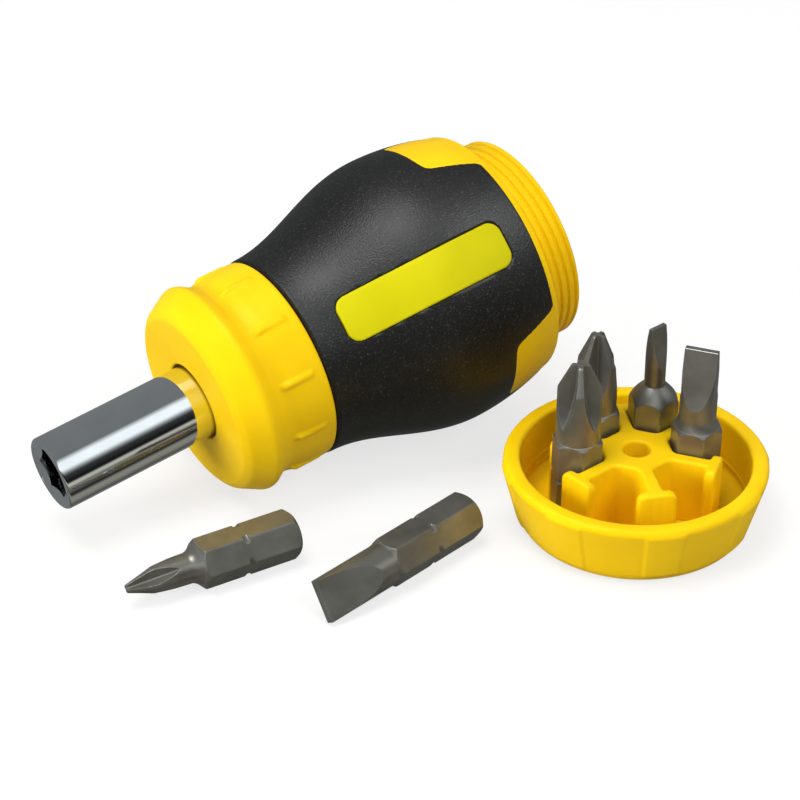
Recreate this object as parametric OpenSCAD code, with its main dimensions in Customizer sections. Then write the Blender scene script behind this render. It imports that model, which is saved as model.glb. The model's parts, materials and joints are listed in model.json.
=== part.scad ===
// Stubby ratchet screwdriver with a bit store in its handle, laid out open on a flat surface.
// The handle lies on its front flange and its belly. The end cap stands beside it, rim up,
// with its bit rack and four bits, and two more bits lie in front.
// Row frame: origin at the centre of the cap's flat base, +Z up, +X from the cap end of the
// handle towards its bit socket. Handle parts are drawn on the Z axis, with z = 0 at the
// socket's mouth and z growing towards the cap end, and are then laid down by lie().

/* [Layout] */
// Where the socket's mouth lies along X, from the cap's centre
tip_x = 70.5; // [60:0.5:90]
// Where the handle's axis lies along Y, from the cap's centre
tip_y = -40.2; // [-60:0.2:-38]
// Where the rear end of the loose small cross bit lies along X
loose_cross_x = 44.3; // [40:0.1:50]
// Where the rear end of the loose small cross bit lies along Y
loose_cross_y = -19.6; // [-19.8:0.1:-15]
// Heading of the loose small cross bit, tip to rear
loose_cross_turn = 176.5; // [170:0.5:185]
// Where the rear end of the loose wide flat bit lies along X
loose_flat_x = 21.7; // [21:0.1:30]
// Where the rear end of the loose wide flat bit lies along Y
loose_flat_y = -9.8; // [-12:0.1:-5]
// Heading of the loose wide flat bit, tip to rear
loose_flat_turn = 191.8; // [188:0.2:196]

/* [Bit holder] */
// Radius of the chromed bit holder
holder_r = 5.4; // [5.2:0.1:5.5]
// Length of bit holder that stands out of the collar
holder_out = 23.2; // [18:0.2:26]
// Depth of the hexagonal socket
socket_depth = 12; // [9:0.5:13]
// Width across the flats of a 1/4 inch hexagon
hex_af = 6.35; // [6.3:0.01:6.4]

/* [Collar] */
// Length of the ratchet selector collar along the axis
collar_len = 14.5; // [14:0.1:15]
// Radius of the collar's front flange
flange_r = 15.7; // [15.5:0.1:16]
// Radius of the collar's ribbed ring
ring_r = 15.1; // [15:0.1:15.2]
// Number of raised ridges round the collar
ridges = 11; // [8:1:12]
// Turn of the selector to each side of its middle position, degrees
select_turn = 20; // [15:1:25]

/* [Handle] */
// Radius of the grip where it meets the collar
waist_r = 15.2; // [15.1:0.1:15.6]
// Largest radius of the grip
belly_r = 20.7; // [20:0.1:21.5]
// Distance from the collar's rear to the grip's largest radius
belly_at = 22.8; // [21:0.1:25]
// Length of the grip behind the collar
grip_len = 35; // [34:0.1:36]
// How much smaller than the belly the grip's rear edge is
shoulder_drop = 1.7; // [1.4:0.1:2]
// Thickness of the rubber grip
grip_t = 1.8; // [1.4:0.1:2]
// Radius of the bit store's bore
store_r = 12.9; // [12.5:0.1:13]
// Radius over the crests of the neck's thread
neck_r = 15.5; // [15.3:0.05:15.6]
// Length of the threaded neck
neck_len = 5.9; // [5.5:0.1:6.5]
// Pitch of the neck's thread
thread_pitch = 1.28; // [1.2:0.02:1.34]

/* [Cap] */
// Radius of the cap's base
cap_base_r = 16.15; // [16:0.05:16.5]
// Radius of the cap's rim
cap_rim_r = 18.7; // [18.5:0.1:19]
// Height of the cap
cap_h = 10.1; // [9.5:0.1:11]
// Thickness of the cap's floor
cap_floor = 1.5; // [1.2:0.1:1.8]
// Number of low raised pads round the cap's wall
pads = 8; // [6:1:12]
// Angle of the first rack bay about the cap's axis
bay_turn = 36.3; // [30:0.1:42]
// Radius of the circle that the stored bits stand on
bit_circle_r = 8.5; // [8.45:0.05:8.6]

/* [Hidden] */
$fn = 96;

gap = 0.03;                          // clearance between parts that are fixed to each other
slip = 0.05;                         // running clearance, on the radius

// stations along the handle's axis
face_z = holder_out;                 // front face of the collar
line_z = holder_out + collar_len;    // line between the collar and the grip
belly_z = line_z + belly_at;
grip_z = line_z + grip_len;          // rear edge of the grip
neck_z = grip_z + 1.3;               // foot of the threaded neck
end_z = neck_z + neck_len;           // rear end of the handle
crest_z = face_z + 4.3;              // crest of the collar's flange
plate_z = face_z + 4.4;              // front of the housing's cover plate
pocket_z = plate_z + 1.6;            // front of the gear pocket
gear_z = pocket_z + 0.4;
gear_w = 6;
bearing_z = gear_z + gear_w + 0.4;   // rear wall of the gear pocket
housing_end_z = line_z + 7.3;
clip_z = housing_end_z + 0.3;
store_z = line_z + 12.3;             // floor of the bit store

// ratchet
teeth = 24;
gear_tip_r = 7.6;
gear_root_r = 6.8;
pocket_r = 7.9;
journal_r = 4.2;                     // rear journal of the bit holder
barrel_journal_r = holder_r - 0.4;   // front journal, inside the collar
drive_af = 8.6;                      // hexagon that drives the gear
nose_r = 12.3;                       // housing inside the collar
tail_r = 11;                         // housing inside the handle core
collar_in_r = nose_r + 0.15;
pawl_w = 3.9;
pawl_in = 6.95;
pawl_out = 9.7;
pawl_track_end = 11.5;
ball_r = 1.2;
ball_at = collar_in_r - slip - ball_r;
ball_travel = 0.45;
ball_z = (pocket_z + bearing_z) / 2;
dimple_r = ball_r + 0.1;

// raised details of the collar and the cap, with their turns about the axis in degrees
ridge_h = 0.35;
ridge_span = 6;
ridge_turn = 33.5;
pad_h = 0.25;
pad_span = 17;
pad_turn = 19.6;

// grip details
label_turn = 50.2;                   // angle of the label about the axis, from the top
label_w = 7;
label_front_z = line_z + 4.7;
label_len = 26;
label_depth = 0.5;
windows = 3;                         // yellow windows in the grip's rear edge
window_z = grip_z - 8;
window_front_w = 12;
window_mid_w = 14.4;
window_rear_w = 17.4;

// bits
hex_r = hex_af / 2 / cos(30);
bit_len = 25.4;
medium_len = 25.05;
small_len = 24.8;
ph2_len = 24.5;
ph3_len = 24.6;
wide_len = 28.5;
bit_floor_z = cap_floor + slip;
rack_top_z = 11.35;
stud_r = 1.75;

// ---- shared shapes ----

function reversed(list) = [for (i = [len(list) - 1:-1:0]) list[i]];

function arc(centre, r, from, to, steps = 6) = [
    for (i = [0:steps])
        let (a = from + (to - from) * i / steps)
        [centre[0] + r * cos(a), centre[1] + r * sin(a)]
];

// the grip's outer radius: a smooth swell up to the belly, then a shallow fall to the shoulder
function barrel_r(z) =
    z < belly_z
        ? waist_r + (belly_r - waist_r) * (1 - cos(180 * (z - line_z) / belly_at)) / 2
        : belly_r - shoulder_drop * pow((z - belly_z) / (grip_z - belly_z), 2);

function barrel_line(from, to, inset, steps = 24) = [
    for (i = [0:steps])
        let (z = from + (to - from) * i / steps)
        [barrel_r(z) - inset, z]
];

// slope of the flat surface that touches both the flange's crest and the grip's swell,
// found by repeating the tangent construction
swell_slope = 90 * (belly_r - waist_r) / belly_at * PI / 180;
function touch_z(slope) = line_z + belly_at * (180 - asin(slope / swell_slope)) / 180;
function lie_slope(slope, rounds) =
    rounds == 0
        ? slope
        : lie_slope(
            (barrel_r(touch_z(slope)) - flange_r) / (touch_z(slope) - crest_z), rounds - 1);
lie_tilt = atan(lie_slope(0.16, 12));
tip_z = flange_r * cos(lie_tilt) - crest_z * sin(lie_tilt);

// lays a handle part down: its z axis runs towards the cap end and its x axis points up
module lie()
    translate([tip_x, tip_y, tip_z])
        rotate([0, lie_tilt - 90, 0])
            children();

module turned(points)
    rotate_extrude()
        polygon(points);

module ring(outer, inner, from, to)
    turned([[inner, from], [outer, from], [outer, to], [inner, to]]);

// drives a flat outline outwards from the axis at an angle: outline x runs round, y runs along
module radial_prism(angle, from, to)
    rotate([0, 0, angle])
        translate([from, 0, 0])
            rotate([90, 0, 90])
                linear_extrude(to - from)
                    children();

// hexagonal prism with two of its flats facing +X and -X
module hex_prism(af, height)
    rotate([0, 0, 30])
        linear_extrude(height)
            circle(r = af / 2 / cos(30), $fn = 6);

// helical spring of square wire: a sector of a ring, twisted as it is driven along the axis
module coil(r, wire, length, turns) {
    span = 360 * wire * turns / length;
    linear_extrude(length, twist = -360 * turns, slices = 16 * turns, $fn = 8)
        polygon(concat(
            arc([0, 0], r + wire / 2, 0, span, 2),
            reversed(arc([0, 0], r - wire / 2, 0, span, 2))
        ));
}

// ---- handle ----

module window_outline(inset)
    polygon([
        [-window_front_w / 2 + inset, window_z + inset],
        [window_front_w / 2 - inset, window_z + inset],
        [window_mid_w / 2 - inset, grip_z - 1.3],
        [window_rear_w / 2 - inset, grip_z + 1],
        [-window_rear_w / 2 + inset, grip_z + 1],
        [-window_mid_w / 2 + inset, grip_z - 1.3]
    ]);

module label_outline(inset) {
    side = label_w / 2 - inset;
    front = label_front_z + inset;
    back = label_front_z + label_len - inset;
    corner = 2;
    polygon(concat(
        arc([side - corner, front + corner], corner, -90, 0),
        arc([side - corner, back - corner], corner, 0, 90),
        arc([corner - side, back - corner], corner, 90, 180),
        arc([corner - side, front + corner], corner, 180, 270)
    ));
}

module barrel_shell(from, to, outer, inner)
    turned(concat(barrel_line(from, to, outer), reversed(barrel_line(from, to, inner))));

// thread of the neck, as raised rings
function thread_line(root, crest, from, turns) = [
    for (i = [0:turns - 1], p = [[root, 0], [crest, 0.2], [crest, 0.9], [root, 1.1]])
        [p[0], from + i * thread_pitch + p[1]]
];

module handle_core()
    color("gold")
        lie()
            difference() {
                union() {
                    turned(concat(
                        [[tail_r + slip, line_z]],
                        barrel_line(line_z, grip_z - gap, grip_t + gap),
                        arc([barrel_r(grip_z) - 1.2, grip_z + 0.1], 1.2, 0, 90),
                        thread_line(neck_r - 0.4, neck_r, neck_z + 0.5, 4),
                        [[neck_r - 0.6, end_z - 0.1], [neck_r - 0.8, end_z], [0, end_z], [0, line_z + 1]]
                    ));
                    intersection() {
                        barrel_shell(window_z, grip_z, 0, grip_t + 1);
                        for (i = [1:windows])
                            radial_prism(label_turn + 60 + 360 / windows * i, 12, 24)
                                window_outline(gap);
                    }
                }
                translate([0, 0, line_z - 1])
                    cylinder(r = tail_r + gap, h = store_z - line_z - 1.4);
                translate([0, 0, store_z])
                    cylinder(r = store_r, h = end_z - store_z + 1);
            }

module grip()
    color("dimgray")
        lie()
            difference() {
                barrel_shell(line_z, grip_z - gap, 0, grip_t);
                for (i = [1:windows])
                    radial_prism(label_turn + 60 + 360 / windows * i, 12, 24)
                        window_outline(0);
                intersection() {
                    barrel_shell(label_front_z - 1, grip_z - 1, -1, label_depth + gap);
                    radial_prism(label_turn, 12, 24)
                        label_outline(-gap);
                }
            }

module label()
    color("yellow")
        lie()
            intersection() {
                barrel_shell(label_front_z - 1, grip_z - 1, 0, label_depth);
                radial_prism(label_turn, 12, 24)
                    label_outline(0);
            }

// ---- ratchet ----

module pawl_tracks()
    for (side = [0, 180])
        rotate([0, 0, side])
            translate([0, -pawl_w / 2 - slip, pocket_z - 1])
                cube([pawl_track_end, pawl_w + 2 * slip, bearing_z - pocket_z + 1]);

module ratchet_housing()
    color("silver")
        lie()
            difference() {
                turned([
                    [journal_r + slip, pocket_z], [nose_r, pocket_z],
                    [nose_r, line_z - 1.85], [nose_r - 0.45, line_z - 1.85],
                    [nose_r - 0.45, line_z - 0.9], [nose_r, line_z - 0.9],
                    [nose_r, line_z - gap], [tail_r, line_z - gap],
                    [tail_r, housing_end_z], [journal_r + slip, housing_end_z]
                ]);
                translate([0, 0, pocket_z - 1])
                    cylinder(r = pocket_r, h = bearing_z - pocket_z + 1);
                pawl_tracks();
                rotate([0, 0, 90])
                    translate([pocket_r + 0.7, 0, ball_z])
                        rotate([0, 90, 0])
                            cylinder(r = ball_r + slip, h = 6);
            }

module housing_cover()
    color("lightgray")
        lie()
            ring(nose_r - 0.1, barrel_journal_r + slip, plate_z, pocket_z - gap);

module collar_snap_ring()
    color("gray")
        lie()
            difference() {
                ring(nose_r + 0.5, nose_r - 0.4, line_z - 1.8, line_z - 0.95);
                translate([0, -20, line_z - 3])
                    rotate([0, 0, 200])
                        translate([0, -0.8, 0])
                            cube([20, 1.6, 4]);
            }

function collar_line() = concat(
    [[holder_r + 0.35, face_z + 0.3], [holder_r + 0.65, face_z], [flange_r - 2.7, face_z]],
    arc([flange_r - 2.7, face_z + 0.9], 0.9, -90, -25, 4),
    arc([flange_r - 0.8, crest_z - 0.1], 0.8, -25, 65, 6),
    [[ring_r - 0.45, crest_z + 1.9], [ring_r - 0.5, crest_z + 3], [ring_r - 0.1, crest_z + 5]],
    [[ring_r, line_z - 3.5], [ring_r, line_z - 0.4], [ring_r - 0.3, line_z - 0.1]]
);

module selector_collar()
    color("gold")
        lie()
            difference() {
                union() {
                    turned(concat(collar_line(), [
                        [collar_in_r, line_z - 0.1],
                        [collar_in_r, line_z - 0.75], [nose_r + 0.7, line_z - 0.75],
                        [nose_r + 0.7, line_z - 2], [collar_in_r, line_z - 2],
                        [collar_in_r, plate_z - 0.15], [holder_r + 0.35, plate_z - 0.15]
                    ]));
                    for (i = [1:ridges])
                        rotate([0, 0, ridge_turn + 360 / ridges * i - ridge_span / 2])
                            rotate_extrude(angle = ridge_span)
                                polygon([
                                    [ring_r - 1, crest_z + 3.1], [ring_r - 0.35, crest_z + 3.3],
                                    [ring_r + ridge_h, crest_z + 4.3],
                                    [ring_r + ridge_h, line_z - 2.2], [ring_r - 0.2, line_z - 1.7],
                                    [ring_r - 1, line_z - 1.7]
                                ]);
                }
                for (a = [-select_turn, 0, select_turn])
                    rotate([0, 0, 90 + a])
                        translate([ball_at + ball_travel, 0, ball_z])
                            sphere(r = dimple_r);
            }

module bit_holder()
    color("silver")
        lie()
            difference() {
                union() {
                    turned([
                        [0, 0], [holder_r - 0.6, 0], [holder_r, 0.6],
                        [holder_r, face_z - 0.2], [barrel_journal_r, face_z - 0.2],
                        [barrel_journal_r, gear_z], [0, gear_z]
                    ]);
                    translate([0, 0, gear_z - 1])
                        hex_prism(drive_af, gear_w + 1);
                    turned([
                        [0, gear_z], [journal_r, gear_z], [journal_r, clip_z],
                        [journal_r - 0.5, clip_z], [journal_r - 0.5, clip_z + 0.9],
                        [journal_r, clip_z + 0.9], [journal_r, clip_z + 1.3],
                        [journal_r - 0.4, clip_z + 1.7], [0, clip_z + 1.7]
                    ]);
                }
                translate([0, 0, -1])
                    hex_prism(hex_af + 0.1, socket_depth + 1);
                translate([0, 0, -1])
                    cylinder(r1 = hex_r + 1.1, r2 = hex_r - 0.4, h = 1.5);
                translate([0, 0, 1])
                    cylinder(r = hex_af / 2 - 0.2, h = socket_depth + 2.2);
                ring(hex_r + 0.5, 1, 4, 4.8);
            }

module socket_magnet()
    color("dimgray")
        lie()
            translate([0, 0, socket_depth + gap])
                cylinder(r = hex_af / 2 - 0.2 - gap, h = 3.1);

module socket_ring()
    color("silver")
        lie()
            difference() {
                rotate_extrude()
                    translate([hex_r + 0.15, 4.4])
                        circle(0.28, $fn = 24);
                translate([0, -0.7, 3.5])
                    cube([8, 1.4, 2]);
            }

// one tooth's space between two teeth is centred on +X, where the forward pawl sits
module ratchet_gear()
    color("gray")
        lie()
            translate([0, 0, gear_z + gap])
                difference() {
                    linear_extrude(gear_w - gap)
                        polygon([
                            for (i = [0:teeth - 1], p = [[-5.5, 0], [-2, 1], [2, 1], [5.5, 0]])
                                let (
                                    a = (i + 0.5) * 360 / teeth + p[0],
                                    r = p[1] == 1 ? gear_tip_r : gear_root_r
                                )
                                [r * cos(a), r * sin(a)]
                        ]);
                    translate([0, 0, -1])
                        hex_prism(drive_af + 2 * gap, gear_w + 2);
                }

module holder_circlip()
    color("gray")
        lie()
            difference() {
                ring(journal_r + 1.6, journal_r - 0.5 + gap, clip_z + gap, clip_z + 0.8);
                translate([0, -1.5, clip_z - 1])
                    cube([10, 3, 3]);
            }

// pawl on +X: its tooth is steep on one side and sloped on the other
module pawl(steep)
    difference() {
        translate([0, 0, gear_z + 0.05])
            linear_extrude(gear_w - 0.1)
                polygon([
                    [pawl_out, -pawl_w / 2], [pawl_out, pawl_w / 2],
                    [pocket_r + 0.1, pawl_w / 2], [pocket_r + 0.1, 0.55 + 0.2 * steep],
                    [pawl_in, 0.2], [pawl_in, -0.2],
                    [pocket_r + 0.1, -0.55 + 0.2 * steep], [pocket_r + 0.1, -pawl_w / 2]
                ]);
        translate([pawl_out - 1.2, 0, ball_z])
            rotate([0, 90, 0])
                cylinder(r = 1.6, h = 3);
    }

module forward_pawl()
    color("slategray")
        lie()
            pawl(1);

module reverse_pawl()
    color("slategray")
        lie()
            rotate([0, 0, 180])
                pawl(-1);

module pawl_spring()
    translate([pawl_out - 1.2 + gap, 0, ball_z])
        rotate([0, 90, 0])
            coil(1.25, 0.28, pawl_track_end - pawl_out + 1.2 - 2 * gap, 4);

module forward_pawl_spring()
    color("silver")
        lie()
            pawl_spring();

module reverse_pawl_spring()
    color("silver")
        lie()
            rotate([0, 0, 180])
                pawl_spring();

module detent_ball()
    color("silver")
        lie()
            rotate([0, 0, 90])
                translate([ball_at, 0, ball_z])
                    sphere(r = ball_r);

module detent_spring()
    color("silver")
        lie()
            rotate([0, 0, 90])
                translate([pocket_r + 0.7 + gap, 0, ball_z])
                    rotate([0, 90, 0])
                        coil(0.8, 0.22, ball_at - ball_r - pocket_r - 0.7 - 2 * gap, 3);

// ---- cap and rack ----

function wall_r(z) = cap_base_r + (cap_rim_r - cap_base_r) * z / cap_h;

module cap()
    color("gold") {
        turned(concat(
            [[0, 0]],
            arc([cap_base_r - 1.4, 1.5], 1.5, -90, -14),
            arc([cap_rim_r - 0.8, cap_h - 0.8], 0.8, -14, 90),
            [[neck_r + 0.7, cap_h], [neck_r + 0.3, cap_h - 0.4]],
            reversed(thread_line(neck_r + 0.25, neck_r - 0.25, 3.4, 2)),
            [[neck_r + 0.1, 2.9], [neck_r - 1.3, cap_floor]],
            [[stud_r, cap_floor], [stud_r, 6], [stud_r - 0.4, 6.4], [0, 6.4]]
        ));
        for (i = [1:pads])
            rotate([0, 0, pad_turn + 360 / pads * i - pad_span / 2])
                rotate_extrude(angle = pad_span)
                    polygon([
                        [wall_r(1.5) - 0.6, 1.5], [wall_r(1.5), 1.5],
                        [wall_r(2) + pad_h, 2], [wall_r(8.8) + pad_h, 8.8],
                        [wall_r(9.4) - 0.05, 9.4], [wall_r(9.4) - 0.6, 9.4]
                    ]);
    }

module bit_rack()
    color("gold")
        translate([0, 0, cap_floor + slip])
            difference() {
                linear_extrude(rack_top_z - cap_floor - slip)
                    union() {
                        rotate([0, 0, bay_turn + 30])
                            circle(r = 4.9 / cos(30), $fn = 6);
                        for (i = [0:5])
                            rotate([0, 0, bay_turn + 30 + 60 * i]) {
                                translate([0, -1])
                                    square([11, 2]);
                                translate([10.3, -2.8])
                                    square([1.5, 5.6]);
                            }
                    }
                translate([0, 0, -1])
                    cylinder(r = stud_r + 0.1, h = 20);
            }

// ---- bits, drawn upright with the rear end of the hexagon at z = 0 ----

// hexagonal shank: chamfered rear, notched corners and a turned nose
module bit_hex(height, nose) {
    notch = 0.54 * height;
    intersection() {
        hex_prism(hex_af, height);
        turned(concat(
            [
                [0, 0], [hex_r - 0.75, 0], [hex_r, 0.7], [hex_r, notch - 0.5],
                [hex_r - 0.3, notch - 0.2], [hex_r - 0.3, notch + 0.2], [hex_r, notch + 0.5]
            ],
            nose,
            [[0, height]]
        ));
    }
}

module cross_bit(length, hex_len, body_r, cone_len, tip_r, flute_len, turn) {
    slope = atan((body_r - 0.45 * tip_r) / flute_len);
    difference() {
        union() {
            bit_hex(hex_len, [[hex_r, hex_len - 0.7], [hex_r - 0.75, hex_len]]);
            turned([
                [0, 1], [hex_r - 0.75, hex_len - 0.01], [body_r + 0.1, hex_len + 0.7],
                [body_r, length - cone_len], [tip_r, length - 0.15], [tip_r - 0.15, length],
                [0, length]
            ]);
        }
        for (i = [0:3])
            rotate([0, 0, 45 + 90 * i + turn])
                translate([body_r, 0, length - flute_len])
                    rotate([0, -slope, 0])
                        linear_extrude(flute_len * 1.5)
                            polygon([[0, -0.15], [6, -4], [6, 4], [0, 0.15]]);
    }
}

// the hexagon ends in a dome that falls to dome_r, and a fillet leads on to the round body
module flat_bit(length, dome_from, dome_len, dome_r, dome_bow, body_r, blade_w, blade_t, blade_len,
                blade_turn) {
    neck = dome_from + dome_len;
    difference() {
        union() {
            bit_hex(neck, [
                for (t = [0:0.2:1])
                    [hex_r - (hex_r - dome_r) * pow(t, dome_bow), dome_from + dome_len * t]
            ]);
            turned([
                [0, 1], [dome_r - 0.02, neck - 0.01],
                [body_r + (dome_r - body_r) * 0.25, neck + (dome_r - body_r) * 1.5],
                [body_r, neck + (dome_r - body_r) * 3], [body_r, length], [0, length]
            ]);
        }
        rotate([0, 0, blade_turn]) {
            for (side = [0, 180])
                rotate([90, 0, side])
                    linear_extrude(20, center = true)
                        polygon([
                            [blade_t / 2, length + 1], [blade_t / 2, length],
                            [body_r, length - blade_len], [body_r + 4, length - blade_len],
                            [body_r + 4, length + 1]
                        ]);
            for (side = [0, 180])
                rotate([0, 0, side])
                    translate([-10, blade_w / 2, length - blade_len])
                        cube([20, 5, blade_len + 1]);
        }
    }
}

// stands a bit in one of the rack's six bays, with a flat facing outwards
module in_bay(bay)
    rotate([0, 0, bay_turn + 60 * bay])
        translate([bit_circle_r, 0, bit_floor_z])
            children();

// lays a bit on one of its flats, with its rear end at a point and its tip away from heading
module laid(x, y, heading)
    translate([x, y, hex_af / 2])
        rotate([0, 0, heading + 180])
            rotate([0, 90, 0])
                children();

module medium_slotted_bit()
    color("gray")
        in_bay(2)
            flat_bit(medium_len, 12.1, 0.85, 3.15, 1.3, 2.6, 4.65, 0.9, 8.7, 60);

module small_slotted_bit()
    color("gray")
        in_bay(3)
            flat_bit(small_len, 12.3, 3.2, 1.6, 1.7, 1.5, 2.75, 0.6, 6.4, 60);

module phillips_2_bit()
    color("gray")
        in_bay(4)
            cross_bit(ph2_len, 12.6, 3.02, 4.5, 1, 10.8, 6);

module phillips_3_bit()
    color("gray")
        in_bay(5)
            cross_bit(ph3_len, 12.9, 3.1, 3.8, 1.22, 10.8, -13);

module phillips_1_bit()
    color("gray")
        laid(loose_cross_x, loose_cross_y, loose_cross_turn)
            cross_bit(bit_len, 14.9, 2.15, 3.9, 0.66, 8.4, 0);

module wide_slotted_bit()
    color("gray")
        laid(loose_flat_x, loose_flat_y, loose_flat_turn)
            flat_bit(wide_len, 15.9, 0.5, 3.18, 1.3, 3.1, 6, 1.1, 8.7, -60);

handle_core();
grip();
label();
ratchet_housing();
housing_cover();
collar_snap_ring();
selector_collar();
bit_holder();
socket_magnet();
socket_ring();
ratchet_gear();
holder_circlip();
forward_pawl();
reverse_pawl();
forward_pawl_spring();
reverse_pawl_spring();
detent_ball();
detent_spring();
cap();
bit_rack();
medium_slotted_bit();
small_slotted_bit();
phillips_2_bit();
phillips_3_bit();
phillips_1_bit();
wide_slotted_bit();
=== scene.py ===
"""Looks of the stubby ratchet screwdriver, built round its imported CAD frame.

Lengths inside this file are millimetres along or across a part's own axis. Axes.at() turns
them into metres in the row frame. Lamps and camera are placed in metres. Stations and radii
are read from the CAD nodes' own meshes where they can be.
"""

import json
import math

import bmesh
import bpy
import numpy as np
from mathutils import Matrix, Vector


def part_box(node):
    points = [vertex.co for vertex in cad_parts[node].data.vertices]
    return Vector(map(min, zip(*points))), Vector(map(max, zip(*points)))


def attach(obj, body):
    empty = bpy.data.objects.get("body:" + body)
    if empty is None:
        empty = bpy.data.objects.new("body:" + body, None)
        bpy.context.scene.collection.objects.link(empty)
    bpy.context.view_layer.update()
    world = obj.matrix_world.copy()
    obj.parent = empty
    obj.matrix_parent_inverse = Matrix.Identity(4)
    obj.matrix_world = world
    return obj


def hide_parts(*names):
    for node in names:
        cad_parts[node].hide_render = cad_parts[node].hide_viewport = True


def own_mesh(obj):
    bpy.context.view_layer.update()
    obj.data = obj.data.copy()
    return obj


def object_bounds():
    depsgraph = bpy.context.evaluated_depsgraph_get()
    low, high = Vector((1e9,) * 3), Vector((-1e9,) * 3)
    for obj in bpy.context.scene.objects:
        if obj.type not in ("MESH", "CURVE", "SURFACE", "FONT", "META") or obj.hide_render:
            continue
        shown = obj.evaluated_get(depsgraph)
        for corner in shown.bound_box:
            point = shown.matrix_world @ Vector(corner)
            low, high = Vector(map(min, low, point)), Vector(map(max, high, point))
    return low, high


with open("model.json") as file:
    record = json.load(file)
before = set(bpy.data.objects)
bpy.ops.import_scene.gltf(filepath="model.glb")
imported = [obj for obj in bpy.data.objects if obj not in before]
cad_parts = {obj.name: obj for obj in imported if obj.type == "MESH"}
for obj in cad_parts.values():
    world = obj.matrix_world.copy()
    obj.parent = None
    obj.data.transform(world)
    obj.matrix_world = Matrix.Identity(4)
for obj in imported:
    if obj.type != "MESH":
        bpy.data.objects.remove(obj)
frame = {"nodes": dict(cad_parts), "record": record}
cad_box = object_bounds()

MM = 0.001
NODES = frame["nodes"]
MOUNTS = {m["name"]: m for m in frame["record"]["mounts"]}
SLOTS = {p["node"]: p["material_slot"] for p in frame["record"]["subparts"]}
JOINTS = {j["name"]: j for j in frame["record"]["behaviour"]["joints"]}
HEX_AF = 6.35          # across the flats of the bits' hexagon
SAME = 0.01            # vertices closer than this are taken to lie at the same place
ROUND = 480            # columns round the large turned pieces


# ---------------------------------------------------------------- geometry helpers


def unit(v):
    v = np.array(v, float)
    return v / np.linalg.norm(v)


def smooth(t):
    """A smooth step from 0 to 1 as t goes from 0 to 1."""
    t = np.clip(t, 0, 1)
    return t * t * (3 - 2 * t)


def wrapped(angle):
    """The same direction as an angle between -180 and 180 degrees."""
    return (angle + 180) % 360 - 180


class Axes:
    """A part's own axis. Points on it are (angle in degrees, radius, height), in mm."""

    def __init__(self, origin, zero, axis):
        self.origin = np.array(origin, float)
        self.z = unit(axis)
        zero = np.array(zero, float)
        self.x = unit(zero - zero @ self.z * self.z)
        self.y = np.cross(self.z, self.x)

    def at(self, angle, radius, height):
        a, r, h = np.broadcast_arrays(np.radians(angle), radius, height)
        across = (r * np.cos(a))[..., None] * self.x + (r * np.sin(a))[..., None] * self.y
        return self.origin + MM * (across + h[..., None] * self.z)

    def turned(self, degrees):
        """The same axis with its zero direction turned."""
        a = math.radians(degrees)
        return Axes(self.origin, math.cos(a) * self.x + math.sin(a) * self.y, self.z)

    def flat(self, x, y, height):
        x, y, h = np.broadcast_arrays(x, y, height)
        return self.origin + MM * (
            x[..., None] * self.x + y[..., None] * self.y + h[..., None] * self.z
        )

    def measure(self, node):
        """(angles, radii, heights) of a CAD node's vertices."""
        mesh = NODES[node].data
        co = np.zeros(len(mesh.vertices) * 3)
        mesh.vertices.foreach_get("co", co)
        d = (co.reshape(-1, 3) - self.origin) / MM
        x, y = d @ self.x, d @ self.y
        return np.degrees(np.arctan2(y, x)), np.hypot(x, y), d @ self.z


class Form:
    """Vertices and faces of one piece, gathered from one or more closed shells."""

    def __init__(self):
        self.points, self.faces, self.count = [], [], 0

    def put(self, points):
        """Adds points and returns their numbers, in the same layout."""
        flat = points.reshape(-1, 3)
        index = np.arange(len(flat)).reshape(points.shape[:-1]) + self.count
        self.points.append(flat)
        self.count += len(flat)
        return index

    def quads(self, index):
        """Faces between rows of points; each row is a closed ring."""
        index = np.concatenate([index, index[:, :1]], axis=1)
        corners = [index[:-1, :-1], index[:-1, 1:], index[1:, 1:], index[1:, :-1]]
        self.faces.extend(np.stack(corners, -1).reshape(-1, 4).tolist())

    def fan(self, ring, apex):
        """Triangles that close a ring with one point."""
        ring = ring.tolist()
        for a, b in zip(ring, ring[1:] + ring[:1]):
            self.faces.append([a, b, apex])

    def object(self, name, body, node, sharp):
        """A shaded piece that rides on a body in place of a CAD node. Edges that turn more
        than sharp degrees stay sharp."""
        mesh = bpy.data.meshes.new(name)
        mesh.from_pydata(np.concatenate(self.points).tolist(), [], self.faces)
        work = bmesh.new()
        work.from_mesh(mesh)
        bmesh.ops.recalc_face_normals(work, faces=work.faces)
        work.to_mesh(mesh)
        work.free()
        mesh.shade_smooth()
        mesh.set_sharp_from_angle(angle=math.radians(sharp))
        mesh.materials.append(FINISH[SLOTS[node]])
        piece = bpy.data.objects.new(name, mesh)
        bpy.context.scene.collection.objects.link(piece)
        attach(piece, body)
        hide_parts(node)
        return piece


def arc(radius_at, height_at, radius, start, end, steps=8):
    """(radius, height) points of an arc about a centre; degrees run from outwards to up."""
    a = np.radians(np.linspace(start, end, steps + 1))
    return np.stack([radius_at + radius * np.cos(a), height_at + radius * np.sin(a)], 1)


def dense(points, step):
    """The same path with no stretch longer than step."""
    points = np.array(points, float)
    out = [points[:1]]
    for a, b in zip(points[:-1], points[1:]):
        n = max(1, math.ceil(np.linalg.norm(b - a) / step))
        out.append(a + (b - a) * (np.arange(1, n + 1) / n)[:, None])
    return np.concatenate(out)


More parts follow.
